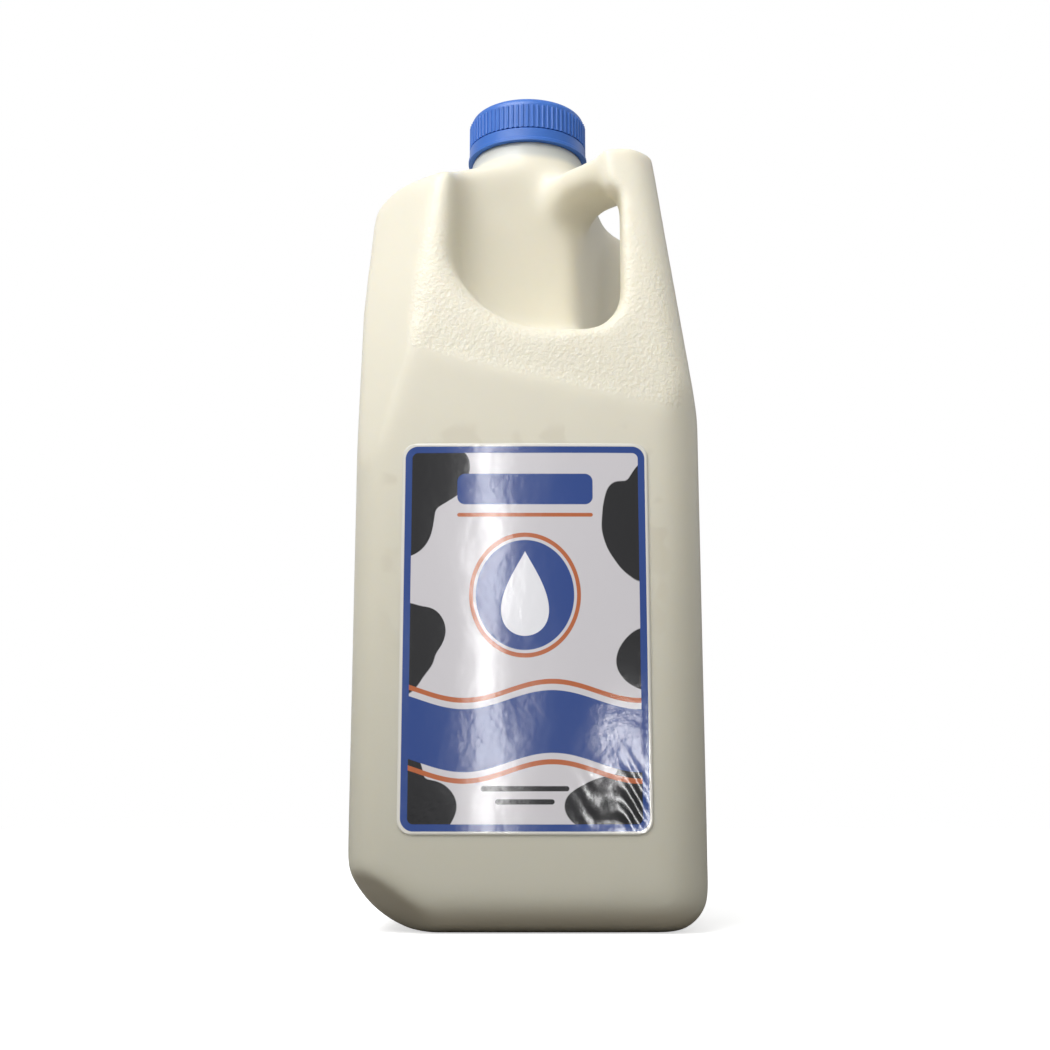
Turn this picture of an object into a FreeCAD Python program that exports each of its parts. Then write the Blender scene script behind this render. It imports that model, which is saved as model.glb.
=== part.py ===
"""Half-gallon plastic milk jug: handle at one upright corner, ribbed screw cap, tamper band and film label.

Frame: millimetres, origin at the centre of the base, +Z up. The label faces -Y and the handle stands at the
+X -Y corner. The jug is mirror-symmetric about its mould parting plane x + y = 0, which runs through the
handle corner and the axis, so each feature of the front side has a twin on the right side.
"""
import FreeCAD, Part
import math
import os

import Sketcher

V = FreeCAD.Vector
doc = FreeCAD.newDocument("milk_jug")

# ---------------------------------------------------------------- driving dimensions
SIZES = {
    # square body
    "body_width": 98.8,           # across the flats, at the corners
    "panel_bulge": 0.85,          # bow of each side panel at its middle
    "corner_round": 11.4,         # front left and rear right upright corners
    "seam_round": 14.2,           # handle corner and rear left corner, on the parting plane
    "heel_round": 11.0,
    "far_heel_round": 24.0,       # heel under the left and rear panels
    "bevel_depth": 16.8,          # heel bevel under the front left corner, at the base
    "bevel_rise": 16.0,           # and how high it climbs
    "base_recess_width": 44.0,
    "base_recess_depth": 2.4,
    # upper body
    "facet_start": 133.0,         # shoulder facet above the front left corner
    "facet_depth": 19.6,          # how far it has cut in at shoulder_height
    "rear_lean_start": 178.6,     # left and rear panels lean in from here
    "rear_lean_depth": 3.8,
    "step_far_height": 163.4,     # lower edge of the leaning front panel, at its far end
    "step_far_reach": 32.6,       # that end, left of the axis
    "step_handle_height": 143.4,  # the same edge at the handle corner
    "step_round": 14.2,
    "panel_lean_angle": 7.7,
    "handle_round": 9.5,          # outer corner of the handle
    "shoulder_height": 235.6,     # where the shoulder cone meets the neck
    "shoulder_angle": 24.0,
    "shoulder_edge_reach": 47.8,  # the shoulder turns down more steeply from here
    "shoulder_edge_angle": 55.0,
    # hand recess, handle and arm
    "recess_left": 24.2,          # far edge of the recess, left of the axis, on the front panel
    "recess_back_left": 19.9,     # far end of the recess's back wall
    "recess_back_front": 27.5,    # how far in front of the axis that end is
    "recess_back_round": 9.5,
    "recess_ridge": 15.2,         # the back walls of both recesses meet at x = -y = recess_ridge
    "recess_floor": 169.1,
    "recess_tilt": 16.0,          # the floor climbs inwards
    "recess_left_round": 30.4,
    "recess_handle_round": 11.4,
    "handle_inner": 28.0,         # inner face of the handle, from the axis
    "handle_inner_chamfer": 4.8,
    "arm_width": 21.0,            # bridge from neck to handle
    "arm_underside": 219.4,
    "arm_under_round": 5.5,
    "arm_dip_reach": 33.0,        # the arm leaves the shoulder here and climbs to its end
    "arm_end_height": 231.0,
    "arm_gusset": 4.2,
    "arm_end_chamfer": 2.8,
    # neck
    "neck_radius": 18.2,
    "neck_height": 6.3,
    "finish_radius": 16.5,        # plain part that the cap screws over
    "bead_radius": 17.4,          # bead that holds the tamper band
    "bead_height": 2.5,
    # cap and tamper band
    "cap_radius": 19.1,           # over the ribs
    "cap_wall": 1.3,
    "cap_crown_round": 3.0,
    "cap_height": 10.7,
    "rib_depth": 0.45,
    "rib_width": 0.81,
    "rib_height": 7.6,
    "band_height": 4.4,
    "band_gap": 0.3,
    "band_clearance": 0.2,        # between band and neck, and band and bead
    "band_lip": 0.35,
    "band_lip_height": 0.9,
    # label
    "label_width": 69.2,
    "label_height": 108.5,
    "label_bottom": 26.1,
    "label_shift": 0.85,          # left of the axis
    "label_round": 4.0,
    "label_thickness": 0.25,
    "label_clearance": 0.05,
}
RIB_COUNT = 72
ROOT_TWO = math.sqrt(2.0)
TOOL_REACH = 320.0                # cutting tools end well outside the jug

sheet = doc.addObject("Spreadsheet::Sheet", "Sizes")
for row, (alias, number) in enumerate(SIZES.items(), start=1):
    sheet.set("A%d" % row, alias)
    sheet.set("B%d" % row, "%g" % number)
    sheet.setAlias("B%d" % row, alias)
doc.recompute()


class Dim:
    """A size worked out from the sheet: its number now, and the expression that keeps a feature bound to it."""

    def __init__(self, number, text=None):
        self.number = float(number)
        self.text = "%.9g" % number if text is None else text

    def _join(self, other, sign, number):
        return Dim(number, "(%s %s %s)" % (self.text, sign, other.text))

    def __add__(self, other):
        other = as_dim(other)
        return self._join(other, "+", self.number + other.number)

    def __sub__(self, other):
        other = as_dim(other)
        return self._join(other, "-", self.number - other.number)

    def __mul__(self, other):
        other = as_dim(other)
        return self._join(other, "*", self.number * other.number)

    def __truediv__(self, other):
        other = as_dim(other)
        return self._join(other, "/", self.number / other.number)

    def __radd__(self, other):
        return as_dim(other) + self

    def __rsub__(self, other):
        return as_dim(other) - self

    def __rmul__(self, other):
        return as_dim(other) * self

    def __neg__(self):
        return Dim(-self.number, "(0 - %s)" % self.text)


def as_dim(value):
    return value if isinstance(value, Dim) else Dim(value)


def dim(alias):
    return Dim(sheet.get(alias), "Sizes.%s" % alias)


def tangent(angle):
    return Dim(math.tan(math.radians(angle.number)), "tan(%s)" % angle.text)


# ---------------------------------------------------------------- sketch and feature helpers
def new_body(name, yaw=0.0):
    """A body whose own frame is turned about the jug's axis."""
    body = doc.addObject("PartDesign::Body", name)
    body.Placement = FreeCAD.Placement(V(0, 0, 0), FreeCAD.Rotation(V(0, 0, 1), yaw))
    return body


def new_sketch(body, name, role, height=None):
    """A sketch on one of the body's origin planes, or on its XY plane lifted to a height."""
    plane = next(f for f in body.Origin.OriginFeatures if f.Role == role)
    sketch = body.newObject("Sketcher::SketchObject", name)
    sketch.AttachmentSupport = [(plane, "")]
    sketch.MapMode = "FlatFace"
    if height is not None:
        sketch.setExpression("AttachmentOffset.Base.z", height.text)
    return sketch


def pin(sketch, geometry, position, x, y):
    """Holds one point of a sketch at x, y from its origin."""
    for kind, place in (("DistanceX", as_dim(x)), ("DistanceY", as_dim(y))):
        if place.number >= 0:
            ends, text = (-1, 1, geometry, position), place.text
        else:
            ends, text = (geometry, position, -1, 1), (-place).text
        index = sketch.addConstraint(Sketcher.Constraint(kind, *ends, abs(place.number)))
        sketch.setExpression("Constraints[%d]" % index, text)


def add_polygon(sketch, points):
    """A closed outline of straight lines through the points."""
    corners = [V(as_dim(x).number, as_dim(y).number, 0) for x, y in points]
    count = len(points)
    lines = [sketch.addGeometry(Part.LineSegment(corners[i], corners[(i + 1) % count]), False) for i in range(count)]
    for i, line in enumerate(lines):
        sketch.addConstraint(Sketcher.Constraint("Coincident", line, 2, lines[(i + 1) % count], 1))
    for line, (x, y) in zip(lines, points):
        pin(sketch, line, 1, x, y)


def pad(body, sketch, name, length, symmetric=False):
    feature = body.newObject("PartDesign::Pad", name)
    feature.Profile = sketch
    feature.setExpression("Length", as_dim(length).text)
    if symmetric:
        feature.SideType = "Symmetric"
    doc.recompute()
    return feature


def revolve(body, sketch, name):
    """Turns a profile about the sketch's own upright axis."""
    feature = body.newObject("PartDesign::Revolution", name)
    feature.Profile = sketch
    feature.ReferenceAxis = (sketch, ["V_Axis"])
    feature.Angle = 360.0
    doc.recompute()
    return feature


def fillet(body, base, name, radius, is_wanted):
    """Rounds the edges of base whose two ends pass the test."""
    names = []
    for number, edge in enumerate(base.Shape.Edges, start=1):
        ends = [vertex.Point for vertex in edge.Vertexes]
        if len(ends) == 2 and is_wanted(*ends):
            names.append("Edge%d" % number)
    feature = body.newObject("PartDesign::Fillet", name)
    feature.Base = (base, names)
    feature.setExpression("Radius", as_dim(radius).text)
    doc.recompute()
    return feature


def near(a, b):
    return abs(a - b) < 1e-3


def is_upright(a, b):
    return near(a.x, b.x) and near(a.y, b.y) and not near(a.z, b.z)


def combine(kind, name, *shapes):
    """A boolean of whole objects: Cut takes base and tool, MultiFuse and MultiCommon take any number."""
    feature = doc.addObject("Part::" + kind, name)
    if kind == "Cut":
        feature.Base, feature.Tool = shapes
    else:
        feature.Shapes = list(shapes)
    doc.recompute()
    return feature


def twin(source):
    """The mirror image on the other side of the parting plane x + y = 0."""
    feature = doc.addObject("Part::Mirroring", source.Name + "_twin")
    feature.Source = source
    feature.Base = V(0, 0, 0)
    feature.Normal = V(1, 1, 0)
    doc.recompute()
    return feature


def slanted_tool(name, yaw, low, high):
    """All space outside a slanted plane, facing yaw degrees, through two (distance from axis, height) points."""
    body = new_body(name, yaw)
    sketch = new_sketch(body, name + "_profile", "XZ_Plane")
    slope = (high[0] - low[0]) / (high[1] - low[1])
    margin = 20.0
    outside = dim("body_width")
    add_polygon(sketch, [
        (low[0] - margin * slope, low[1] - margin),
        (outside, low[1] - margin),
        (outside, high[1] + margin),
        (high[0] + margin * slope, high[1] + margin),
    ])
    pad(body, sketch, name + "_block", TOOL_REACH, symmetric=True)
    return body


# ---------------------------------------------------------------- places shared by several features
half = dim("body_width") / 2
corner_reach = half * ROOT_TWO - dim("corner_round") * (ROOT_TWO - 1)
step_slope = (dim("step_far_height") - dim("step_handle_height")) / (dim("step_far_reach") + half)
step_middle = dim("step_handle_height") + step_slope * half
panel_radius = (half * half + dim("panel_bulge") * dim("panel_bulge")) / (dim("panel_bulge") * 2)
neck_top = dim("shoulder_height") + dim("neck_height")
band_bottom = neck_top + dim("band_clearance")
cap_bottom = band_bottom + dim("band_height") + dim("band_gap")
cap_top = cap_bottom + dim("cap_height")
finish_top = cap_top - dim("cap_wall")


# ---------------------------------------------------------------- jug body
def make_blank():
    """Square column with bowed sides, rounded corners and a rounded heel."""
    body = new_body("blank")
    sketch = new_sketch(body, "plan", "XY_Plane")
    reach, radius = half.number, panel_radius.number
    centre_out = radius - dim("panel_bulge").number - reach
    swing = math.asin(reach / radius)
    sides = []
    for quarter in range(4):
        middle = math.radians(90 * quarter - 90)
        centre = V(-centre_out * math.cos(middle), -centre_out * math.sin(middle), 0)
        circle = Part.Circle(centre, V(0, 0, 1), radius)
        sides.append(sketch.addGeometry(Part.ArcOfCircle(circle, middle - swing, middle + swing), False))
    signs = [(-1, -1), (1, -1), (1, 1), (-1, 1)]
    for side, (x_sign, y_sign) in zip(sides, signs):
        sketch.addConstraint(Sketcher.Constraint("Coincident", side, 2, sides[(side + 1) % 4], 1))
        pin(sketch, side, 1, half * x_sign, half * y_sign)
        index = sketch.addConstraint(Sketcher.Constraint("Radius", side, radius))
        sketch.setExpression("Constraints[%d]" % index, panel_radius.text)
    column = pad(body, sketch, "column", dim("shoulder_height"))

    def on_seam(a, b):
        return is_upright(a, b) and near(a.x, -a.y)

    def off_seam(a, b):
        return is_upright(a, b) and near(a.x, a.y)

    seam = fillet(body, column, "seam_corners", dim("seam_round"), on_seam)
    corners = fillet(body, seam, "plain_corners", dim("corner_round"), off_seam)
    fillet(body, corners, "heel", dim("heel_round"), lambda a, b: near(a.z, 0) and near(b.z, 0))
    return body


def make_far_side():
    """Block that ends at the left panel and gives its foot the larger heel."""
    body = new_body("far_side")
    sketch = new_sketch(body, "far_side_profile", "XZ_Plane")
    reach = half + dim("panel_bulge")
    outside = dim("body_width")
    top = dim("shoulder_height") * 1.2
    add_polygon(sketch, [(-reach, 0), (outside, 0), (outside, top), (-reach, top)])
    block = pad(body, sketch, "far_side_block", TOOL_REACH, symmetric=True)
    fillet(body, block, "far_heel", dim("far_heel_round"),
           lambda a, b: near(a.x, -reach.number) and near(b.x, -reach.number) and near(a.z, 0) and near(b.z, 0))
    return body


def front_plane(x, z):
    """How far back the leaning front panel lies at x and height z."""
    return tangent(dim("panel_lean_angle")) * (z - step_middle + step_slope * x) - half


def make_lean_hull():
    """Block whose front and right faces are the leaning panels, with the handle's rounded outer corner.

    Its plan is drawn at one level and swept along the edge where the two panels meet.
    """
    body = new_body("lean_hull")
    rate = tangent(dim("panel_lean_angle"))
    outside = dim("body_width")
    level = dim("step_handle_height") / 2
    corner = (half - rate * (level - step_middle)) / (rate * step_slope + 1)
    edge = front_plane(-outside, level)
    sketch = new_sketch(body, "hull_plan", "XY_Plane", level)
    add_polygon(sketch, [(corner, -corner), (-edge, outside), (-outside, outside), (-outside, edge)])
    block = pad(body, sketch, "hull_block", dim("shoulder_height"))
    inward = rate / (rate * step_slope + 1)
    block.UseCustomVector = True
    block.AlongSketchNormal = True
    block.Direction = V(-inward.number, inward.number, 1)
    block.setExpression("Direction.x", (-inward).text)
    block.setExpression("Direction.y", inward.text)
    doc.recompute()
    fillet(body, block, "handle_corner", dim("handle_round"),
           lambda a, b: near(a.x, -a.y) and near(b.x, -b.y) and a.x > 0 and b.x > 0)
    return body


def make_panel_tool(hull):
    """What the leaning front panel leaves out: all above its lower edge, in front of the hull."""
    body = new_body("panel_region")
    sketch = new_sketch(body, "panel_outline", "XZ_Plane")
    outside = dim("body_width")
    top = dim("shoulder_height") * 1.1
    add_polygon(sketch, [
        (-dim("step_far_reach"), dim("step_far_height")),
        (outside, step_middle - step_slope * outside),
        (outside, top),
        (-dim("step_far_reach"), top),
    ])
    block = pad(body, sketch, "panel_block", TOOL_REACH, symmetric=True)
    far_x, far_z = -SIZES["step_far_reach"], SIZES["step_far_height"]
    fillet(body, block, "panel_corner", dim("step_round"),
           lambda a, b: near(a.x, far_x) and near(b.x, far_x) and near(a.z, far_z) and near(b.z, far_z))

    front_half = doc.addObject("Part::Box", "front_half")
    front_half.Length = TOOL_REACH
    front_half.Width = TOOL_REACH / 2
    front_half.Height = TOOL_REACH
    turn = FreeCAD.Rotation(V(0, 0, 1), -45)
    front_half.Placement = FreeCAD.Placement(turn.multVec(V(-TOOL_REACH / 2, -TOOL_REACH / 2, 0)), turn)
    doc.recompute()
    region = combine("MultiCommon", "front_region", body, front_half)
    return combine("Cut", "front_panel_tool", region, hull)


def shoulder_at(reach):
    """Height of the shoulder cone at a distance from the axis."""
    return dim("shoulder_height") - (reach - dim("neck_radius")) * tangent(dim("shoulder_angle"))


def make_shoulder_tool():
    """All above the shoulder cone and its steeper edge, outside the neck."""
    body = new_body("above_shoulder")
    sketch = new_sketch(body, "shoulder_profile", "XZ_Plane")
    inner = dim("neck_radius")
    edge = dim("shoulder_edge_reach")
    outer = dim("body_width")
    rise = dim("shoulder_height")
    add_polygon(sketch, [
        (inner, rise),
        (edge, shoulder_at(edge)),
        (outer, shoulder_at(edge) - (outer - edge) * tangent(dim("shoulder_edge_angle"))),
        (outer, rise * 1.2),
        (inner, rise * 1.2),
    ])
    revolve(body, sketch, "shoulder_ring")
    return body


def make_recess_tool():
    """Hand recess of the front side: plan outline of its walls, met with its tilted front opening."""
    walls = new_body("recess_walls")
    plan = new_sketch(walls, "recess_plan", "XY_Plane")
    outside = dim("body_width")
    back_left, back_front = dim("recess_back_left"), dim("recess_back_front")
    spread = (dim("recess_left") - back_left) / (half - back_front)
    inner, chamfer = dim("handle_inner"), dim("handle_inner_chamfer")
    add_polygon(plan, [
        (-(back_left + spread * (outside - back_front)), -outside),
        (inner, -outside),
        (inner, -(inner + chamfer)),
        (inner + chamfer / 4, -(inner + chamfer / 4)),
        (dim("recess_ridge"), -dim("recess_ridge")),
        (-back_left, -back_front),
    ])
    block = pad(walls, plan, "recess_wall_block", dim("shoulder_height") * 1.2)
    corner_x, corner_y = -SIZES["recess_back_left"], -SIZES["recess_back_front"]
    fillet(walls, block, "recess_back_corner", dim("recess_back_round"),
           lambda a, b: is_upright(a, b) and near(a.x, corner_x) and near(a.y, corner_y))

    opening = new_body("recess_opening")
    front = new_sketch(opening, "recess_outline", "XZ_Plane")
    top = dim("shoulder_height") / 2
    left = dim("recess_left")
    add_polygon(front, [(-left, 0), (inner, 0), (inner, top), (-left, top)])
    tunnel = pad(opening, front, "recess_tunnel", TOOL_REACH, symmetric=True)
    low_left = fillet(opening, tunnel, "recess_left_corner", dim("recess_left_round"),
                      lambda a, b: near(a.x, b.x) and a.x < 0 and near(a.z, 0) and near(b.z, 0))
    fillet(opening, low_left, "recess_handle_corner", dim("recess_handle_round"),
           lambda a, b: near(a.x, b.x) and near(a.x, inner.number) and near(a.z, 0) and near(b.z, 0))
    opening.Placement = FreeCAD.Placement(V(0, 0, 0), FreeCAD.Rotation(V(1, 0, 0), 1))
    opening.setExpression("Placement.Base.y", (-half).text)
    opening.setExpression("Placement.Base.z", dim("recess_floor").text)
    opening.setExpression("Placement.Rotation.Angle", dim("recess_tilt").text)
    doc.recompute()
    return combine("MultiCommon", "front_recess_tool", walls, opening)


def make_arm(hull):
    """Bridge from the neck to the top of the handle, gusseted at both ends of the hand hole."""
    body = new_body("arm_block", -45)
    sketch = new_sketch(body, "arm_profile", "XZ_Plane")
    under, gusset = dim("arm_underside"), dim("arm_gusset")
    ridge = dim("recess_ridge") * ROOT_TWO
    inner = dim("handle_inner") * ROOT_TWO
    rate = tangent(dim("panel_lean_angle"))
    end = (half - rate * (dim("arm_end_height") - step_middle)) * ROOT_TWO - dim("handle_round") * (ROOT_TWO - 1)
    chamfer = dim("arm_end_chamfer")
    dip = dim("arm_dip_reach")
    add_polygon(sketch, [
        (0, under - gusset),
        (ridge, under - gusset),
        (ridge + gusset, under),
        (inner - gusset / 2, under),
        (inner + gusset / 2, under - gusset),
        (end + gusset, under - gusset),
        (end, dim("arm_end_height") - chamfer),
        (end - chamfer, dim("arm_end_height")),
        (dip, shoulder_at(dip)),
        (0, shoulder_at(dip)),
    ])
    bar = pad(body, sketch, "arm_bar", dim("arm_width"), symmetric=True)
    side, low = SIZES["arm_width"] / 2, SIZES["arm_underside"]
    fillet(body, bar, "arm_underside_edges", dim("arm_under_round"),
           lambda a, b: near(abs(a.y), side) and near(a.y, b.y) and max(a.z, b.z) < low + 1e-3)
    return combine("MultiCommon", "arm", body, hull)


def make_neck():
    """Plain collar, then the finish that the cap screws over, with the bead that holds the tamper band."""
    body = new_body("neck")
    sketch = new_sketch(body, "neck_profile", "XZ_Plane")
    collar, finish, bead = dim("neck_radius"), dim("finish_radius"), dim("bead_radius")
    add_polygon(sketch, [
        (0, dim("shoulder_height") - dim("neck_height")),
        (collar, dim("shoulder_height") - dim("neck_height")),
        (collar, neck_top),
        (finish, neck_top),
        (finish, neck_top + dim("bead_height")),
        (bead, neck_top + dim("bead_height") + (bead - finish) / 2),
        (finish, neck_top + dim("bead_height") + (bead - finish) * 2),
        (finish, finish_top),
        (0, finish_top),
    ])
    revolve(body, sketch, "neck_turned")
    return body


def make_base_recess():
    body = new_body("base_recess")
    sketch = new_sketch(body, "base_plan", "XY_Plane")
    reach = dim("base_recess_width") / 2
    add_polygon(sketch, [(-reach, -reach), (reach, -reach), (reach, reach), (-reach, reach)])
    block = pad(body, sketch, "base_block", dim("base_recess_depth"))
    fillet(body, block, "base_corners", dim("seam_round"), is_upright)
    return body


def make_jug_body():
    hull = make_lean_hull()
    front_tools = [
        make_panel_tool(hull),
        slanted_tool("shoulder_facet", 225,
                     (corner_reach, dim("facet_start")),
                     (corner_reach - dim("facet_depth"), dim("shoulder_height"))),
        slanted_tool("rear_lean", 180,
                     (half + dim("panel_bulge"), dim("rear_lean_start")),
                     (half + dim("panel_bulge") - dim("rear_lean_depth"), dim("shoulder_height"))),
        slanted_tool("heel_bevel", 225,
                     (corner_reach - dim("bevel_depth"), as_dim(0)),
                     (corner_reach, dim("bevel_rise"))),
    ]
    tools = front_tools + [twin(tool) for tool in front_tools]
    far_side = make_far_side()
    column = combine("MultiCommon", "heeled", make_blank(), far_side, twin(far_side))
    outer = combine("Cut", "trimmed", column, combine("MultiFuse", "trim_tools", *tools))
    domed = combine("Cut", "domed", outer, make_shoulder_tool())
    recess = make_recess_tool()
    hollow = combine("Cut", "recessed_front", domed, recess)
    hollow = combine("Cut", "recessed", hollow, twin(recess))
    joined = combine("MultiFuse", "joined", hollow, make_arm(hull), make_neck())
    jug = combine("Cut", "jug", joined, make_base_recess())
    return jug


# ---------------------------------------------------------------- cap, tamper band and label
def make_cap():
    """Cup with a rounded crown and fine upright ribs; its inside face rests on the finish."""
    body = new_body("cap_body")
    profile = new_sketch(body, "cap_profile", "XZ_Plane")
    smooth = dim("cap_radius") - dim("rib_depth")
    bore = smooth - dim("cap_wall")
    add_polygon(profile, [
        (bore, cap_bottom),
        (smooth, cap_bottom),
        (smooth, cap_top),
        (0, cap_top),
        (0, finish_top),
        (bore, finish_top),
    ])
    cup = revolve(body, profile, "cap_cup")
    top = cap_top.number
    crown_names = ["Edge%d" % n for n, edge in enumerate(cup.Shape.Edges, start=1)
                   if near(edge.BoundBox.ZMin, top) and near(edge.BoundBox.ZMax, top)]
    crown = body.newObject("PartDesign::Fillet", "cap_crown")
    crown.Base = (cup, crown_names)
    crown.setExpression("Radius", "Sizes.cap_crown_round")
    doc.recompute()

    rib_sketch = new_sketch(body, "rib_plan", "XY_Plane", cap_bottom)
    side = dim("rib_width") / 2
    root = smooth - dim("cap_wall") / 2
    crest = dim("cap_radius")
    add_polygon(rib_sketch, [(root, -side), (crest - side / 2, -side), (crest, -side / 3),
                             (crest, side / 3), (crest - side / 2, side), (root, side)])
    rib = pad(body, rib_sketch, "rib", dim("rib_height"))
    pattern = body.newObject("PartDesign::PolarPattern", "ribs")
    pattern.Originals = [rib]
    axis = next(f for f in body.Origin.OriginFeatures if f.Role == "Z_Axis")
    pattern.Axis = (axis, [""])
    pattern.Angle = 360.0
    pattern.Occurrences = RIB_COUNT
    body.Tip = pattern
    doc.recompute()
    return body


def make_tamper_band():
    """Plain ring under the cap, with a small lip at its lower edge."""
    body = new_body("tamper_band_body")
    sketch = new_sketch(body, "band_profile", "XZ_Plane")
    outer = dim("cap_radius")
    lip = outer + dim("band_lip")
    bore = dim("bead_radius") + dim("band_clearance")
    top = band_bottom + dim("band_height")
    add_polygon(sketch, [
        (bore, band_bottom),
        (lip, band_bottom),
        (lip, band_bottom + dim("band_lip_height")),
        (outer, band_bottom + dim("band_lip_height") + dim("band_lip")),
        (outer, top - dim("band_lip")),
        (outer - dim("band_lip"), top),
        (bore, top),
    ])
    revolve(body, sketch, "band_turned")
    return body


def make_label():
    """Thin sheet that follows the bow of the front panel."""
    body = new_body("label_body")
    sketch = new_sketch(body, "label_plan", "XY_Plane", dim("label_bottom"))
    reach = dim("label_width") / 2
    centre_y = panel_radius.number - SIZES["panel_bulge"] - half.number
    centre = V(0, centre_y, 0)
    shift = dim("label_shift")
    skins = [panel_radius + dim("label_clearance"), panel_radius + dim("label_clearance") + dim("label_thickness")]
    left_x, right_x = -shift - reach, reach - shift

    def angle_at(x, radius):
        return 1.5 * math.pi + math.asin(x.number / radius.number)

    arcs = []
    for radius in skins:
        circle = Part.Circle(centre, V(0, 0, 1), radius.number)
        arc = Part.ArcOfCircle(circle, angle_at(left_x, radius), angle_at(right_x, radius))
        arcs.append(sketch.addGeometry(arc, False))
    inner, outer = arcs
    joins = []
    for position in (1, 2):
        line = Part.LineSegment(sketch.getPoint(inner, position), sketch.getPoint(outer, position))
        joins.append((sketch.addGeometry(line, False), position))
    for line, position in joins:
        sketch.addConstraint(Sketcher.Constraint("Coincident", line, 1, inner, position))
        sketch.addConstraint(Sketcher.Constraint("Coincident", line, 2, outer, position))
        sketch.addConstraint(Sketcher.Constraint("Vertical", line))
    pin(sketch, inner, 3, 0, panel_radius - dim("panel_bulge") - half)
    sketch.addConstraint(Sketcher.Constraint("Coincident", inner, 3, outer, 3))
    for arc, radius in zip(arcs, skins):
        index = sketch.addConstraint(Sketcher.Constraint("Radius", arc, radius.number))
        sketch.setExpression("Constraints[%d]" % index, radius.text)
    for (line, _), x in zip(joins, (left_x, right_x)):
        ends = (-1, 1, line, 1) if x.number >= 0 else (line, 1, -1, 1)
        index = sketch.addConstraint(Sketcher.Constraint("DistanceX", *ends, abs(x.number)))
        sketch.setExpression("Constraints[%d]" % index, x.text if x.number >= 0 else (-x).text)
    sheet_pad = pad(body, sketch, "label_sheet", dim("label_height"))
    fillet(body, sheet_pad, "label_corners", dim("label_round"),
           lambda a, b: near(a.x, b.x) and near(a.z, b.z) and not near(a.y, b.y))
    return body


# ---------------------------------------------------------------- nodes, checks and export
NODES = {
    "jug_body": make_jug_body(),
    "cap": make_cap(),
    "tamper_band": make_tamper_band(),
    "label": make_label(),
}
for label, node in NODES.items():
    node.Label = label
doc.recompute()

for item in doc.Objects:
    if "Invalid" in item.State or "Error" in item.State:
        raise RuntimeError("%s failed: %s" % (item.Name, item.State))
os.makedirs("parts", exist_ok=True)
for label, node in NODES.items():
    shape = node.Shape
    if shape.isNull() or not shape.isValid() or len(shape.Solids) != 1:
        raise RuntimeError("%s is not one valid solid" % label)
    box = shape.optimalBoundingBox()
    print("%-12s %9.1f mm3  x %.2f %.2f  y %.2f %.2f  z %.2f %.2f" % (
        label, shape.Volume, box.XMin, box.XMax, box.YMin, box.YMax, box.ZMin, box.ZMax))
    shape.exportStep("parts/%s.step" % label)
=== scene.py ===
"""Looks of the half-gallon milk jug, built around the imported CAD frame.  Metres, +Z up, label to -Y."""
import math

import bmesh
import bpy
import numpy as np
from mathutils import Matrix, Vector


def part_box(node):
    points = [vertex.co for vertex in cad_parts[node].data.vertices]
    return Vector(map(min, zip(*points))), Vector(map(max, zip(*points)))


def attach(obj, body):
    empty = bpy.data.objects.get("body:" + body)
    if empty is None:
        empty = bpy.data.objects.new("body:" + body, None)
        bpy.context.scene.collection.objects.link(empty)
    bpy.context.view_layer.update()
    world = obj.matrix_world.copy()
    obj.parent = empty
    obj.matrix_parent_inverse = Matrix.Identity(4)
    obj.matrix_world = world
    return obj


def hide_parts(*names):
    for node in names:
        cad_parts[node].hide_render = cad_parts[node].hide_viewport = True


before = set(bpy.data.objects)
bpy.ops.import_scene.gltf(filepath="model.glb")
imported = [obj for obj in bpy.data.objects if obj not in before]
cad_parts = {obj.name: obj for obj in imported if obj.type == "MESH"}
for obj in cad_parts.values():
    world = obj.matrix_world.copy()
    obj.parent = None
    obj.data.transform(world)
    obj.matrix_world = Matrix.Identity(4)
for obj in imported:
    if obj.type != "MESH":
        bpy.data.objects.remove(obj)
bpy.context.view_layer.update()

MM = 0.001
BODY = np.array(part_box("jug_body"))       # lowest and highest corner of the moulded body
LABEL = np.array(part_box("label"))
CAP = np.array(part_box("cap"))
MIDDLE = (0, 0, (BODY[0][2] + CAP[1][2]) / 2)

HALF_WIDTH = BODY[1][0]                   # panel middle, from the axis
PANEL_BULGE = 0.85 * MM                   # bow of each side panel
PANEL_HALF = HALF_WIDTH - PANEL_BULGE     # panel edge, from the axis
PANEL_RADIUS = (PANEL_HALF ** 2 + PANEL_BULGE ** 2) / (2 * PANEL_BULGE)
FRONT_LEAN = math.tan(math.radians(7.7))  # how far the upper front panel leans back
STEP_MIDDLE = 154.9 * MM                  # lower edge of that panel, at x = 0
STEP_SLOPE = 0.244                        # how fast the edge falls towards the handle
NECK_BASE = 235.6 * MM

LABEL_X = (LABEL[0][0] + LABEL[1][0]) / 2
LABEL_Z = (LABEL[0][2] + LABEL[1][2]) / 2
LABEL_HALF_X = (LABEL[1][0] - LABEL[0][0]) / 2
LABEL_HALF_Z = (LABEL[1][2] - LABEL[0][2]) / 2
LABEL_ROUND = 4.0 * MM


def smoothstep(low, high, value):
    """0 at low, 1 at high, and a soft ramp between; low may be the larger."""
    ramp = np.clip((value - low) / (high - low), 0.0, 1.0)
    return ramp * ramp * (3.0 - 2.0 * ramp)


# ---------------------------------------------------------------- node helpers
def new_material(name):
    """An empty node material, with its tree and its output node."""
    material = bpy.data.materials.new(name)
    material.use_nodes = True
    tree = material.node_tree
    tree.nodes.clear()
    output = tree.nodes.new("ShaderNodeOutputMaterial")
    return material, tree, output


def principled(tree, output, **values):
    """A Principled shader with the given socket values."""
    shader = tree.nodes.new("ShaderNodeBsdfPrincipled")
    for name, value in values.items():
        shader.inputs[name.replace("_", " ")].default_value = value
    tree.links.new(shader.outputs["BSDF"], output.inputs["Surface"])
    return shader


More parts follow.
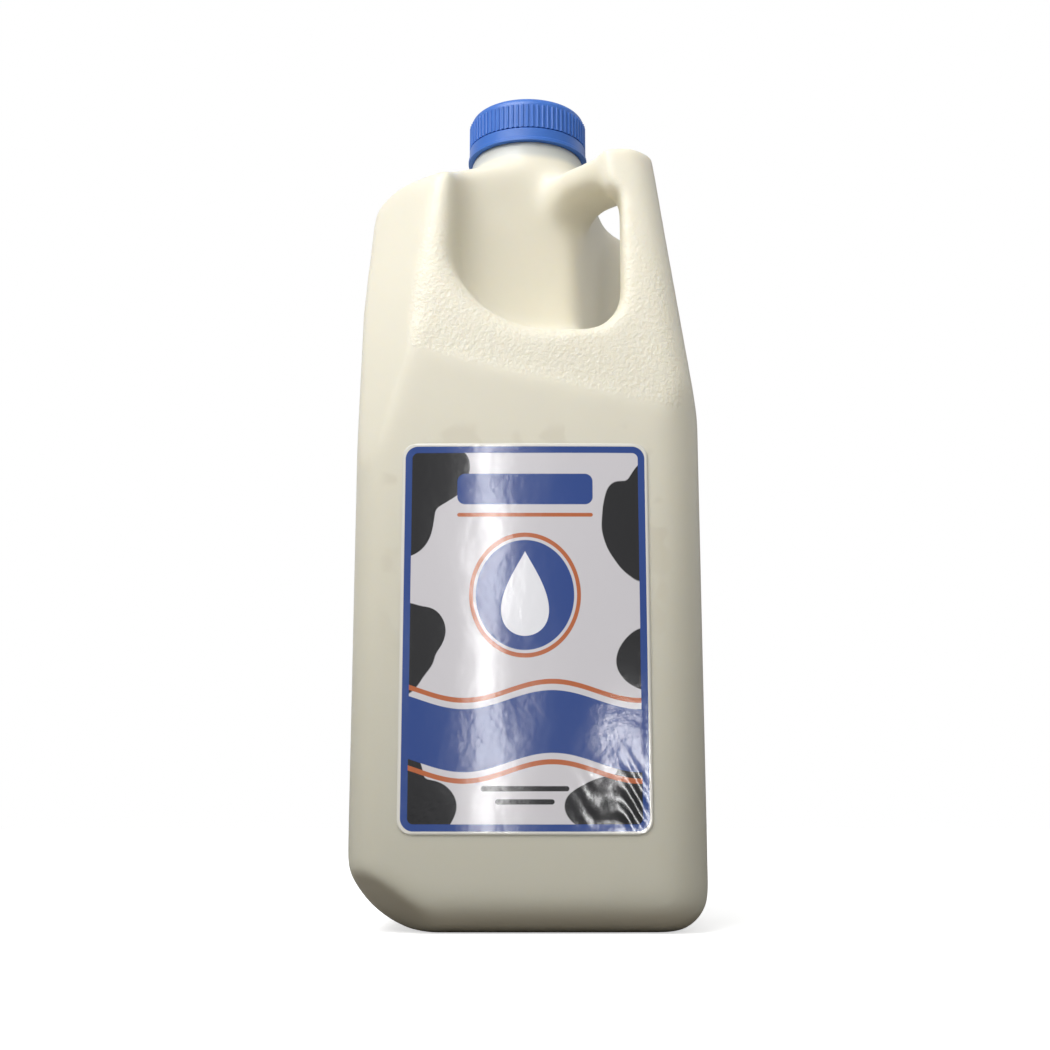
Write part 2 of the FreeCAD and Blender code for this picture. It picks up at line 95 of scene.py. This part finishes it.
def feed(tree, socket, source):
    """Sets a socket from a number, a colour or another node's output."""
    if isinstance(source, bpy.types.NodeSocket):
        tree.links.new(source, socket)
    elif source is not None:
        socket.default_value = source


def math_node(tree, operation, first, second=None, third=None, clamp=False):
    """The result of one Math node."""
    node = tree.nodes.new("ShaderNodeMath")
    node.operation = operation
    node.use_clamp = clamp
    for socket, source in zip(node.inputs, (first, second, third)):
        feed(tree, socket, source)
    return node.outputs[0]


def multiply(tree, first, second):
    return math_node(tree, "MULTIPLY", first, second)


def subtract(tree, first, second):
    return math_node(tree, "SUBTRACT", first, second)


def multiply_add(tree, first, second, third):
    return math_node(tree, "MULTIPLY_ADD", first, second, third)


def mix_color(tree, factor, first, second):
    """The first colour at factor 0 and the second at 1."""
    node = tree.nodes.new("ShaderNodeMix")
    node.data_type = "RGBA"
    feed(tree, node.inputs["Factor"], factor)
    feed(tree, node.inputs[6], first)
    feed(tree, node.inputs[7], second)
    return node.outputs[2]


def ramp_value(tree, source, low, high, smooth=True):
    """Maps low..high to 0..1."""
    node = tree.nodes.new("ShaderNodeMapRange")
    node.interpolation_type = "SMOOTHSTEP" if smooth else "LINEAR"
    feed(tree, node.inputs["Value"], source)
    node.inputs["From Min"].default_value = low
    node.inputs["From Max"].default_value = high
    return node.outputs["Result"]


def noise(tree, vector, scale, detail=2.0, roughness=0.5):
    """Noise about 0.5."""
    node = tree.nodes.new("ShaderNodeTexNoise")
    node.inputs["Scale"].default_value = scale
    node.inputs["Detail"].default_value = detail
    node.inputs["Roughness"].default_value = roughness
    feed(tree, node.inputs["Vector"], vector)
    return node.outputs["Fac"]


def object_position(tree):
    """The point on the part, in metres: CAD nodes and pieces all keep their objects at the origin."""
    return tree.nodes.new("ShaderNodeTexCoord").outputs["Object"]


def split(tree, vector):
    """The three parts of a vector."""
    node = tree.nodes.new("ShaderNodeSeparateXYZ")
    feed(tree, node.inputs[0], vector)
    return node.outputs[0], node.outputs[1], node.outputs[2]


def attribute(tree, name):
    """A value stored on the mesh's points."""
    node = tree.nodes.new("ShaderNodeAttribute")
    node.attribute_name = name
    return node.outputs["Fac"]


def bump(tree, height, strength, distance, normal=None):
    """A surface direction tilted by a height, on top of another bump if one is given."""
    node = tree.nodes.new("ShaderNodeBump")
    feed(tree, node.inputs["Strength"], strength)
    node.inputs["Distance"].default_value = distance
    feed(tree, node.inputs["Height"], height)
    if normal is not None:
        feed(tree, node.inputs["Normal"], normal)
    return node.outputs["Normal"]


# ---------------------------------------------------------------- shape of the moulded body
VOXEL = 1.0 * MM
RELAX_STEP = 0.5                          # how far one round takes a point towards its neighbours
EVEN_ROUNDS = 22                          # softening of the whole skin
DEEP_ROUNDS = 45                          # further softening of the recess beside the handle


def remeshed_copy(source, name, voxel):
    """An even quad skin of a CAD node, as a new mesh."""
    copy = bpy.data.objects.new(name, source.data.copy())
    bpy.context.scene.collection.objects.link(copy)
    weld = copy.modifiers.new("weld", "WELD")
    weld.merge_threshold = 1e-5
    remesh = copy.modifiers.new("skin", "REMESH")
    remesh.mode = "VOXEL"
    remesh.voxel_size = voxel
    graph = bpy.context.evaluated_depsgraph_get()
    mesh = bpy.data.meshes.new_from_object(copy.evaluated_get(graph))
    bpy.data.objects.remove(copy)
    mesh.name = name
    return mesh


def mesh_points(mesh):
    """The mesh's points, one row each."""
    points = np.empty(len(mesh.vertices) * 3)
    mesh.vertices.foreach_get("co", points)
    return points.reshape(-1, 3)


def mesh_edges(mesh):
    """The two point numbers of each edge."""
    edges = np.empty(len(mesh.edges) * 2, dtype=np.int64)
    mesh.edges.foreach_get("vertices", edges)
    return edges.reshape(-1, 2)


def neighbour_mean(points, edges, degree):
    """The mean of each point's neighbours."""
    total = np.zeros_like(points)
    for axis in range(points.shape[1]):
        total[:, axis] += np.bincount(edges[:, 0], points[edges[:, 1], axis], len(points))
        total[:, axis] += np.bincount(edges[:, 1], points[edges[:, 0], axis], len(points))
    return total / degree[:, None]


def relax(points, edges, weight, rounds):
    """Softens the skin: each point moves towards its neighbours by its weight, over and over."""
    degree = np.bincount(edges.ravel(), minlength=len(points)).astype(float)
    for _ in range(rounds):
        points = points + weight[:, None] * (neighbour_mean(points, edges, degree) - points)
    return points


def smooth_shading(mesh):
    mesh.polygons.foreach_set("use_smooth", np.ones(len(mesh.polygons), dtype=bool))


def mirrored(points):
    """Points swapped across the mould's parting plane, which makes the right side read as the front."""
    return np.column_stack([-points[:, 1], -points[:, 0], points[:, 2]])


def on_arm(points):
    """Up to 0.85 on the bridge between neck and handle, and 0 away from it."""
    x, y, z = points.T
    height = smoothstep(198 * MM, 224 * MM, z)
    width = smoothstep(22 * MM, 17 * MM, np.abs(x + y))
    return 0.85 * height * width * smoothstep(30 * MM, 38 * MM, x - y)


def recess_mask(points):
    """1 in the hand recess beside the handle, where the moulding is roundest, and 0 elsewhere."""
    strength = np.zeros(len(points))
    for side in (points, mirrored(points)):
        x, y, z = side.T
        in_recess = smoothstep(-38 * MM, -30 * MM, x) * smoothstep(160 * MM, 172 * MM, z)
        behind_panel = smoothstep(-PANEL_HALF - 2 * MM, -PANEL_HALF + 5 * MM, y)
        own_half = x + y < 4 * MM
        strength = np.maximum(strength, in_recess * behind_panel * own_half)
    along_arm = points[:, 0] - points[:, 1]
    outer_handle = smoothstep(54 * MM, 60 * MM, along_arm)
    return strength * (1 - outer_handle) * (1 - 0.85 * on_arm(points))


def grain_mask(points):
    """1 on the grained skin of the leaning panel above the step line, fading upwards, and 0 elsewhere."""
    texture = np.zeros(len(points))
    for side in (points, mirrored(points)):
        x, y, height = side.T
        plane = FRONT_LEAN * (height - STEP_MIDDLE + STEP_SLOPE * x) - PANEL_HALF
        on_panel = smoothstep(3.0 * MM, 1.2 * MM, np.abs(y - plane))
        above_step = smoothstep(-1 * MM, 2 * MM, height - (STEP_MIDDLE - STEP_SLOPE * x))
        right_of_facet = smoothstep(-36 * MM, -32 * MM, x)
        fading_up = 1 - 0.75 * smoothstep(185 * MM, 215 * MM, height)
        texture = np.maximum(texture, on_panel * above_step * right_of_facet * fading_up)
    return texture


def jug_shell():
    """The moulded body: the CAD solid's own skin with every edge softened as blow moulding leaves it."""
    mesh = remeshed_copy(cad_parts["jug_body"], "jug_shell", VOXEL)
    points = mesh_points(mesh)
    edges = mesh_edges(mesh)
    z = points[:, 2]
    under_cap = smoothstep(NECK_BASE + 1.5 * MM, NECK_BASE + 4 * MM, z)
    base = smoothstep(3 * MM, 0.5 * MM, z)
    even = RELAX_STEP * (1 - 0.9 * under_cap) * (1 - 0.5 * base) * (1 - 0.8 * on_arm(points))
    points = relax(points, edges, even, EVEN_ROUNDS)
    deep = recess_mask(points) * RELAX_STEP * (1 - under_cap)
    points = relax(points, edges, deep, DEEP_ROUNDS)
    mesh.vertices.foreach_set("co", points.ravel())
    smooth_shading(mesh)
    grain = mesh.attributes.new("grain", "FLOAT", "POINT")
    grain.data.foreach_set("value", grain_mask(points))
    mesh.update()

    shell = bpy.data.objects.new("jug_shell", mesh)
    bpy.context.scene.collection.objects.link(shell)
    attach(shell, "root")
    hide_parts("jug_body")
    return shell


# ---------------------------------------------------------------- milk-filled plastic
MILK_SHADED_LOW = (0.50, 0.485, 0.405, 1)        # painted shade: the darker colour near the foot
MILK_LIT_HIGH = (0.84, 0.80, 0.67, 1)         # painted light: the lighter colour from the top of the painted gradient upwards
MILK_CLOUD = (0.62, 0.57, 0.44, 1)
MILK_DAMP = (0.50, 0.44, 0.33, 1)         # blotches near the label
MILK_COLLAR = (0.61, 0.62, 0.585, 1)      # empty neck under the cap
MILK_PAINTED_SHADE_UNDER = (0.26, 0.215, 0.15, 1)       # painted shade on faces that look down
# height in metres where the painted light and shade gradient reaches its lighter colour
LIT_TONE_TOP = 0.19


def damp_marks(tree, position):
    """Faint blotches that show through the wall just outside the label's edge."""
    x, y, z = split(tree, position)
    across = subtract(tree, x, LABEL_X)
    up = subtract(tree, z, LABEL_Z)
    edge = rounded_box_field(tree, across, up, LABEL_HALF_X, LABEL_HALF_Z, LABEL_ROUND)
    from_ring = math_node(tree, "ABSOLUTE", subtract(tree, edge, 2.5 * MM))
    close = ramp_value(tree, from_ring, 4.5 * MM, 1 * MM)
    front = ramp_value(tree, y, -PANEL_HALF + 3 * MM, -PANEL_HALF)
    high = ramp_value(tree, z, 55 * MM, 120 * MM)
    spots = ramp_value(tree, noise(tree, position, 130, 1, 0.4), 0.5, 0.62)
    mask = multiply(tree, multiply(tree, close, spots), multiply(tree, front, high))
    return multiply(tree, mask, 0.22)


def milky_plastic():
    """Translucent polyethylene full of milk, with moulded grain; painted light makes it warm and light at
    the top, and painted shade makes it greyer low down.
    """
    material, tree, output = new_material("milky_plastic")
    position = object_position(tree)
    height = split(tree, position)[2]
    # painted light and shade: the colour darkens from the top down to the foot
    up = ramp_value(tree, height, 0.0, LIT_TONE_TOP, smooth=False)
    tone = mix_color(tree, up, MILK_SHADED_LOW, MILK_LIT_HIGH)
    cloud = noise(tree, position, 28, 3, 0.55)
    tone = mix_color(tree, multiply(tree, cloud, 0.10), tone, MILK_CLOUD)
    tone = mix_color(tree, damp_marks(tree, position), tone, MILK_DAMP)
    collar = ramp_value(tree, height, NECK_BASE, NECK_BASE + 3 * MM)
    tone = mix_color(tree, collar, tone, MILK_COLLAR)
    # painted shade: faces that look down are darkened, most strongly near the foot, in place of the shade
    # under the arm and on the bevel
    facing = tree.nodes.new("ShaderNodeNewGeometry").outputs["Normal"]
    under = ramp_value(tree, split(tree, facing)[2], -0.15, -0.75)
    shade_near_foot = ramp_value(tree, height, 60 * MM, 30 * MM)
    amount = multiply_add(tree, shade_near_foot, 0.45, 0.15)
    tone = mix_color(tree, multiply(tree, under, amount), tone, MILK_PAINTED_SHADE_UNDER)
    shader = principled(tree, output, Roughness=0.43, IOR=1.5, Subsurface_Weight=0.35,
                        Subsurface_Radius=(1.0, 0.85, 0.6), Subsurface_Scale=0.004,
                        Specular_IOR_Level=0.42)
    feed(tree, shader.inputs["Base Color"], tone)
    coarse = noise(tree, position, 850, 2, 0.6)
    grain_strength = multiply_add(tree, attribute(tree, "grain"), 0.42, 0.02)
    grained = bump(tree, coarse, grain_strength, 0.0009)
    ripple = noise(tree, position, 45, 2, 0.5)
    waved = bump(tree, ripple, 0.12, 0.002, grained)
    feed(tree, shader.inputs["Normal"], waved)
    return material


# ---------------------------------------------------------------- cap and tamper band
CAP_DARK = (0.045, 0.15, 0.52, 1)
CAP_LIGHT = (0.06, 0.185, 0.60, 1)


def cap_plastic():
    """Satin blue polyethylene with slight flow marks."""
    material, tree, output = new_material("cap_plastic")
    position = object_position(tree)
    cloud = noise(tree, position, 160, 2, 0.5)
    shader = principled(tree, output, Roughness=0.38, IOR=1.5, Subsurface_Weight=0.08,
                        Subsurface_Radius=(0.4, 0.7, 1.0), Subsurface_Scale=0.002)
    feed(tree, shader.inputs["Base Color"], mix_color(tree, cloud, CAP_DARK, CAP_LIGHT))
    fine = noise(tree, position, 1500, 2, 0.5)
    feed(tree, shader.inputs["Normal"], bump(tree, fine, 0.12, 0.0002))
    return material


# ---------------------------------------------------------------- shape of the label
LABEL_COLUMNS = 120
LABEL_ROWS = 190
FILM = 0.12 * MM
WAVE_DEPTH = 0.07                         # in millimetres, like the next
CRINKLE_DEPTH = 0.09
CRINKLE_REACH = 11 * MM                   # of the creases at the lower right corner
CALM_EDGE = 3 * MM                        # over this margin the film comes to lie flat


def label_front(x):
    """Where the panel's front lies at x, as a y value."""
    return -(math.sqrt(PANEL_RADIUS ** 2 - x * x) - PANEL_RADIUS + HALF_WIDTH)


def label_inset(v):
    """How far the label's side is drawn in at height v, which rounds its corners."""
    over = abs(v) - (LABEL_HALF_Z - LABEL_ROUND)
    if over <= 0:
        return 0.0
    return LABEL_ROUND - math.sqrt(max(LABEL_ROUND ** 2 - over ** 2, 0.0))


def label_sink(u, v):
    """How far the film dips at a point, from the label's middle: slight waves, and a creased corner."""
    x = LABEL_X + u
    z = LABEL_Z + v
    edge = min(LABEL_HALF_X - abs(u), LABEL_HALF_Z - abs(v)) / CALM_EDGE
    calm = min(1.0, max(0.0, edge))
    wave = 0.5 + 0.5 * math.sin(x * 190 + 1.7 * math.sin(z * 63)) * math.cos(z * 47 + x * 25)
    from_corner = (u - LABEL_HALF_X * 0.8) ** 2 + (v + LABEL_HALF_Z * 0.86) ** 2
    corner = math.exp(-from_corner / CRINKLE_REACH ** 2)
    crinkle = 0.5 + 0.5 * math.sin((u * 0.8 + v) * 900 + 2.2 * math.sin(u * 420))
    return (WAVE_DEPTH * wave + CRINKLE_DEPTH * corner * crinkle) * MM * calm


def label_sheet():
    """The film, finely divided, with the slight waves and creases of a label put on by machine."""
    proud = -LABEL[0][1] - HALF_WIDTH
    bm = bmesh.new()
    grid = []
    for row in range(LABEL_ROWS + 1):
        v = -LABEL_HALF_Z + 2 * LABEL_HALF_Z * row / LABEL_ROWS
        reach = LABEL_HALF_X - label_inset(v)
        line = []
        for column in range(LABEL_COLUMNS + 1):
            u = reach * (2 * column / LABEL_COLUMNS - 1)
            x = LABEL_X + u
            line.append(bm.verts.new((x, label_front(x) - proud + label_sink(u, v), LABEL_Z + v)))
        grid.append(line)
    for lower, upper in zip(grid, grid[1:]):
        for column in range(LABEL_COLUMNS):
            bm.faces.new((lower[column], lower[column + 1], upper[column + 1], upper[column]))
    mesh = bpy.data.meshes.new("label_sheet")
    bm.to_mesh(mesh)
    bm.free()
    smooth_shading(mesh)

    label = bpy.data.objects.new("label_sheet", mesh)
    bpy.context.scene.collection.objects.link(label)
    film = label.modifiers.new("film", "SOLIDIFY")
    film.thickness = FILM
    film.offset = -1.0
    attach(label, "root")
    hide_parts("label")
    return label


# ---------------------------------------------------------------- print on the label
# Places in the print are millimetres across and up from the label's middle.
BLUE = (0.013, 0.053, 0.25, 1)
ORANGE = (0.47, 0.12, 0.035, 1)
BLACK = (0.007, 0.007, 0.009, 1)
GROUND = (0.63, 0.61, 0.64, 1)
DROP_WHITE = (0.80, 0.80, 0.84, 1)
CLEAR_MARGIN = (0.72, 0.70, 0.64, 1)
BORDER_FILM = 0.9 * MM                    # clear film outside the blue frame
BORDER_WIDTH = 1.9 * MM
INK_EDGE = 0.06 * MM                      # half the width over which a printed edge blurs
# Cow-hide patches, each a cluster of ellipses: centre across and up, two radii, turn in degrees.
PATCHES = [
    [(-28, 45, 13, 9, 20), (-34, 33, 8, 11, 0)],
    [(30, 29, 8, 14, 12), (36, 42, 7, 8, 0)],
    [(-35, -4, 10, 13, -14), (-27, 1, 5, 6, 0)],
    [(34, -7, 8, 9, 20)],
    [(-29, -48, 11, 8, 15), (-35, -39, 7, 8, 0)],
    [(22, -46, 12, 7, 10), (33, -41, 8, 11, 0)],
]
# Straight bars: half width, half height, place up, ink.
BARS = [
    (19, 0.55, 33.6, ORANGE),
    (12, 0.7, -42, BLACK),
    (8, 0.7, -45.5, BLACK),
]


def ellipse_field(tree, x, z, centre_x, centre_z, radius_x, radius_z, turn=0.0):
    """Under 1 inside a turned ellipse, and over 1 outside."""
    c, s = math.cos(turn), math.sin(turn)
    dx = subtract(tree, x, centre_x)
    dz = subtract(tree, z, centre_z)
    along = multiply_add(tree, dx, c / radius_x, multiply(tree, dz, s / radius_x))
    across = multiply_add(tree, dx, -s / radius_z, multiply(tree, dz, c / radius_z))
    square = multiply_add(tree, along, along, multiply(tree, across, across))
    return math_node(tree, "SQRT", square)


def rounded_box_field(tree, x, z, half_x, half_z, radius):
    """Distance outside a rounded rectangle about the origin, in metres; negative inside."""
    qx = subtract(tree, math_node(tree, "ABSOLUTE", x), half_x - radius)
    qz = subtract(tree, math_node(tree, "ABSOLUTE", z), half_z - radius)
    ox = math_node(tree, "MAXIMUM", qx, 0.0)
    oz = math_node(tree, "MAXIMUM", qz, 0.0)
    far = math_node(tree, "SQRT", multiply_add(tree, ox, ox, multiply(tree, oz, oz)))
    near = math_node(tree, "MINIMUM", math_node(tree, "MAXIMUM", qx, qz), 0.0)
    return subtract(tree, math_node(tree, "ADD", far, near), radius)


def inside(tree, field, edge=1.0, softness=0.012):
    """1 where a field is under its edge, with a print-sharp border."""
    return ramp_value(tree, field, edge + softness, edge - softness, smooth=False)


def print_edge(tree, field):
    """1 where a distance field is negative, with a print-sharp border."""
    return ramp_value(tree, field, INK_EDGE, -INK_EDGE, smooth=False)


def hide_patches(tree, x, z, position, color):
    """Dark patches with a slightly wavering outline."""
    wobble = multiply(tree, subtract(tree, noise(tree, position, 60, 1), 0.5), 0.5)
    for cluster in PATCHES:
        field = None
        for centre_x, centre_z, radius_x, radius_z, turn in cluster:
            one = ellipse_field(tree, x, z, centre_x * MM, centre_z * MM, radius_x * MM, radius_z * MM,
                                math.radians(turn))
            if field is None:
                field = one
            else:
                field = math_node(tree, "SMOOTH_MIN", field, one, 0.4)
        field = math_node(tree, "ADD", field, wobble)
        color = mix_color(tree, inside(tree, field), color, BLACK)
    return color


def wave_band(tree, x, z, color):
    """A waved blue band across the lower third, with an orange line along each side of it."""
    crest = math_node(tree, "SINE", multiply_add(tree, x, 130.0, 0.6))
    level = multiply_add(tree, crest, 2.6 * MM, -18 * MM)
    rise = subtract(tree, z, level)
    below_crest = print_edge(tree, rise)
    foot = -17 * MM
    above_foot = ramp_value(tree, rise, foot - INK_EDGE, foot + INK_EDGE, smooth=False)
    color = mix_color(tree, multiply(tree, below_crest, above_foot), color, BLUE)
    for offset in (2.4, -19.4):
        distance = math_node(tree, "ABSOLUTE", subtract(tree, rise, offset * MM))
        line = ramp_value(tree, distance, 0.75 * MM, 0.63 * MM, smooth=False)
        color = mix_color(tree, line, color, ORANGE)
    return color


def banner_and_bars(tree, x, z, color):
    """A plain banner near the top with a line under it, and two short bars near the foot."""
    banner = rounded_box_field(tree, x, subtract(tree, z, 41 * MM), 19 * MM, 4.4 * MM, 2.2 * MM)
    color = mix_color(tree, print_edge(tree, banner), color, BLUE)
    for half_width, half_height, level, ink in BARS:
        up = subtract(tree, z, level * MM)
        bar = rounded_box_field(tree, x, up, half_width * MM, half_height * MM, half_height * MM)
        color = mix_color(tree, print_edge(tree, bar), color, ink)
    return color


def drop_badge(tree, x, z, color):
    """An oval badge with an orange ring and a white drop."""
    badge = ellipse_field(tree, x, z, 0.0, 11 * MM, 15.5 * MM, 17.5 * MM)
    for share, ink in ((1.0, ORANGE), (0.93, GROUND), (0.88, BLUE)):
        color = mix_color(tree, inside(tree, badge, share, 0.004), color, ink)
    taper = ramp_value(tree, subtract(tree, z, 6.5 * MM), -7 * MM, 17 * MM, smooth=False)
    pointed = math_node(tree, "POWER", math_node(tree, "SUBTRACT", 1.0, taper, clamp=True), 1.15)
    width = multiply(tree, pointed, math_node(tree, "SQRT", taper))
    drop = subtract(tree, math_node(tree, "ABSOLUTE", x), multiply(tree, width, 18.5 * MM))
    drop_mask = ramp_value(tree, drop, -0.03 * MM, -0.15 * MM, smooth=False)
    in_badge = inside(tree, badge, 0.8, 0.004)
    return mix_color(tree, multiply(tree, drop_mask, in_badge), color, DROP_WHITE)


def frame_and_margin(tree, x, z, color):
    """The blue frame, and the clear film's pale margin outside it."""
    edge = rounded_box_field(tree, x, z, LABEL_HALF_X - BORDER_FILM, LABEL_HALF_Z - BORDER_FILM,
                             LABEL_ROUND - BORDER_FILM / 2)
    blur = 0.05 * MM
    in_frame = ramp_value(tree, edge, -BORDER_WIDTH - blur, -BORDER_WIDTH + blur, smooth=False)
    color = mix_color(tree, in_frame, color, BLUE)
    in_margin = ramp_value(tree, edge, -blur, blur, smooth=False)
    return mix_color(tree, in_margin, color, CLEAR_MARGIN)


def label_film():
    """Glossy printed film: blue frame, pale ground, dark hide patches, a plain drop badge and a wave."""
    material, tree, output = new_material("label_film")
    position = object_position(tree)
    raw_x, _, raw_z = split(tree, position)
    x = subtract(tree, raw_x, LABEL_X)
    z = subtract(tree, raw_z, LABEL_Z)
    color = hide_patches(tree, x, z, position, GROUND)
    color = wave_band(tree, x, z, color)
    color = banner_and_bars(tree, x, z, color)
    color = drop_badge(tree, x, z, color)
    color = frame_and_margin(tree, x, z, color)

    shader = principled(tree, output, Roughness=0.10, IOR=1.5)
    feed(tree, shader.inputs["Base Color"], color)
    ripple = noise(tree, position, 95, 3, 0.6)
    rippled = bump(tree, ripple, 0.10, 0.0006)
    peel = noise(tree, position, 1500, 2, 0.6)
    feed(tree, shader.inputs["Normal"], bump(tree, peel, 0.022, 0.00025, rippled))
    return material


# ---------------------------------------------------------------- assembling the object
shell = jug_shell()
shell.data.materials.clear()
shell.data.materials.append(milky_plastic())
blue_plastic = cap_plastic()
for name in ("cap", "tamper_band"):
    for material_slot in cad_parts[name].material_slots:
        material_slot.material = blue_plastic
label = label_sheet()
label.data.materials.append(label_film())


# ---------------------------------------------------------------- floor, light and camera
CAMERA_DISTANCE = 412.3 * MM              # in front of the front panel
CAMERA_HEIGHT = 28.1 * MM
CAMERA_PITCH = 11.4                       # degrees upwards
CAMERA_LENS = 51.43                       # millimetres, on a 36 mm sensor
AMBIENT = 0.30                            # light from all round; the camera sees plain white
FLOOR_SEEN = (0.9, 0.9, 0.9, 1)
FLOOR_BOUNCE = (0.36, 0.35, 0.33, 1)      # darker for the light that it throws on the jug


def seen_directly(tree):
    """1 for rays from the camera, straight or through glass, and 0 for light bouncing about."""
    path = tree.nodes.new("ShaderNodeLightPath")
    camera_ray = path.outputs["Is Camera Ray"]
    return math_node(tree, "ADD", camera_ray, path.outputs["Is Transmission Ray"], clamp=True)


def make_floor():
    """A white floor that melts into the background and keeps the jug's shadow."""
    bpy.ops.mesh.primitive_plane_add(size=40)
    floor = bpy.context.object
    floor.name = "floor"
    floor.location.z = BODY[0][2] - 0.05 * MM
    material, tree, output = new_material("floor")
    seen = seen_directly(tree)
    matte = tree.nodes.new("ShaderNodeBsdfDiffuse")
    feed(tree, matte.inputs["Color"], mix_color(tree, seen, FLOOR_BOUNCE, FLOOR_SEEN))
    glow = tree.nodes.new("ShaderNodeEmission")
    far = tree.nodes.new("ShaderNodeVectorMath")
    far.operation = "LENGTH"
    feed(tree, far.inputs[0], object_position(tree))
    distance = ramp_value(tree, far.outputs["Value"], 0.2, 0.7)
    fill = multiply_add(tree, distance, 0.2, 0.62)
    feed(tree, glow.inputs["Strength"], multiply(tree, seen, fill))
    both = tree.nodes.new("ShaderNodeAddShader")
    tree.links.new(matte.outputs[0], both.inputs[0])
    tree.links.new(glow.outputs[0], both.inputs[1])
    tree.links.new(both.outputs[0], output.inputs["Surface"])
    floor.data.materials.append(material)


def make_world():
    """A background that the camera sees as white, but that lights the jug only softly."""
    world = bpy.data.worlds.new("studio")
    bpy.context.scene.world = world
    world.use_nodes = True
    tree = world.node_tree
    tree.nodes.clear()
    output = tree.nodes.new("ShaderNodeOutputWorld")
    background = tree.nodes.new("ShaderNodeBackground")
    background.inputs["Color"].default_value = (1, 1, 1, 1)
    strength = multiply_add(tree, seen_directly(tree), 1 - AMBIENT, AMBIENT)
    feed(tree, background.inputs["Strength"], strength)
    tree.links.new(background.outputs[0], output.inputs["Surface"])


def area_light(name, location, target, width, height, power):
    """A white rectangular lamp aimed at a point."""
    data = bpy.data.lights.new(name, "AREA")
    data.shape = "RECTANGLE"
    data.size = width
    data.size_y = height
    data.energy = power
    lamp = bpy.data.objects.new(name, data)
    lamp.location = location
    lamp.rotation_euler = (Vector(target) - Vector(location)).to_track_quat("-Z", "Y").to_euler()
    bpy.context.scene.collection.objects.link(lamp)


def make_camera():
    """A low camera in front of the label, tilted up."""
    data = bpy.data.cameras.new("camera")
    data.sensor_width = 36.0
    data.lens = CAMERA_LENS
    camera = bpy.data.objects.new("camera", data)
    camera.location = (LABEL_X, -PANEL_HALF - CAMERA_DISTANCE, CAMERA_HEIGHT)
    camera.rotation_euler = (math.radians(90 + CAMERA_PITCH), 0, 0)
    bpy.context.scene.collection.objects.link(camera)
    bpy.context.scene.camera = camera


make_floor()
make_world()
area_light("top_light", (-0.30, -0.45, 0.82), MIDDLE, 0.6, 0.6, 7.6)
area_light("front_light", (-0.2, -1.6, 0.5), MIDDLE, 1.0, 1.0, 1.4)
area_light("right_rear_fill", (0.9, 0.5, 0.6), MIDDLE, 0.8, 0.8, 1.4)
area_light("left_rear_fill", (-0.7, 0.9, 0.5), MIDDLE, 0.8, 0.8, 1.2)
# two narrow lamps that draw the bright upright streaks on the label's film
area_light("left_strip", (-0.062, -1.5, 0.10), (-0.03, 0, 0.09), 0.034, 1.3, 3.8)
area_light("right_strip", (0.185, -1.5, -0.02), (0.05, 0, 0.05), 0.026, 0.35, 1.3)
make_camera()
bpy.context.scene.view_settings.view_transform = "Standard"
